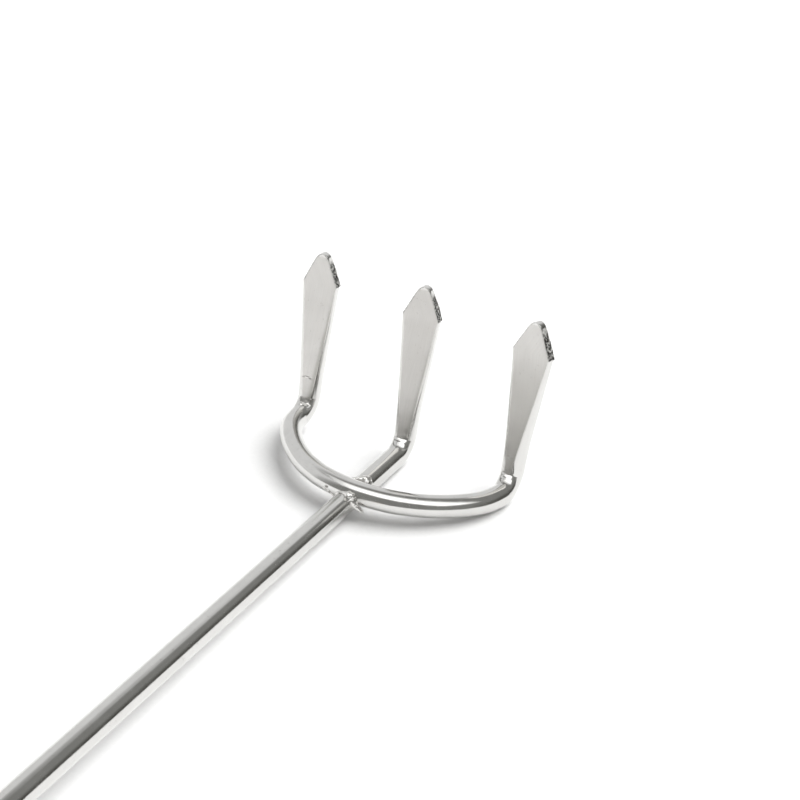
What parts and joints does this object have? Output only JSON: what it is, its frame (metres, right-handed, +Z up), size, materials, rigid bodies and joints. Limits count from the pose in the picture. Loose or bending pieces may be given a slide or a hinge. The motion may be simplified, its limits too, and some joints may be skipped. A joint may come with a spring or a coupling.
{
  "type": "uncapping fork",
  "caption": "Hand fork of round plated steel rod: spear-shaped tines turned up from a shaft and a bow welded across it, on a turned wooden grip.",
  "frame": {"origin": "centre of the bounding box at the plane the fork lies on", "axes": "+Y from the grip towards the tines, +Z up from the plane the fork lies on with its tines pointing up, +X towards the arm of the bow that touches that plane"},
  "size_m": [0.0734, 0.2806, 0.0504],
  "materials": {
    "plated_rod": "bright nickel plate over drawn rod, satin on the forged faces",
    "plated_rod_bow": "bright nickel plate over drawn rod, satin on the forged faces",
    "weld_metal_near": "as welded, plated over, rough",
    "weld_metal_far": "as welded, plated over, rough",
    "beech": "turned and oiled, slightly worn",
    "ferrule_plate": "nickel plate on drawn steel, fine scuffs",
    "pin_steel": "bright steel, hammered ends"
  },
  "bodies": {
    "root": {"shaft": "plated_rod", "bow": "plated_rod_bow", "weld_bead_near": "weld_metal_near", "weld_bead_far": "weld_metal_far", "grip": "beech", "ferrule": "ferrule_plate", "cross_pin": "pin_steel"}
  },
  "joints": []
}
